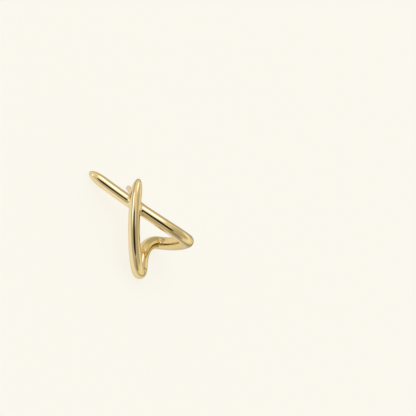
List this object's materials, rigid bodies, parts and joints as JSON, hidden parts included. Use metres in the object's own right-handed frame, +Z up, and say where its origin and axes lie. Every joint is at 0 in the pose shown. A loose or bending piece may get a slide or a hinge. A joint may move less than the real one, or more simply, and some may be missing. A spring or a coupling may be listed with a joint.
{
  "type": "stud earring",
  "caption": "Polished gold-tone stud earring: crossed wire bars that bend under the ear lobe and meet behind it in a V, with a straight ear post.",
  "frame": {"origin": "middle of the underside, on the surface that the stud lies on", "axes": "+Z up from that surface; +X along the longest extent, from the rear bar's long tip towards the bends; +Y towards the side that the post's free end lies on"},
  "size_m": [0.0174, 0.0156, 0.0093],
  "materials": {
    "polished_gold": "mirror-polished pale yellow gold"
  },
  "bodies": {
    "root": {"crossed_bar_stud": "polished_gold"}
  },
  "joints": []
}
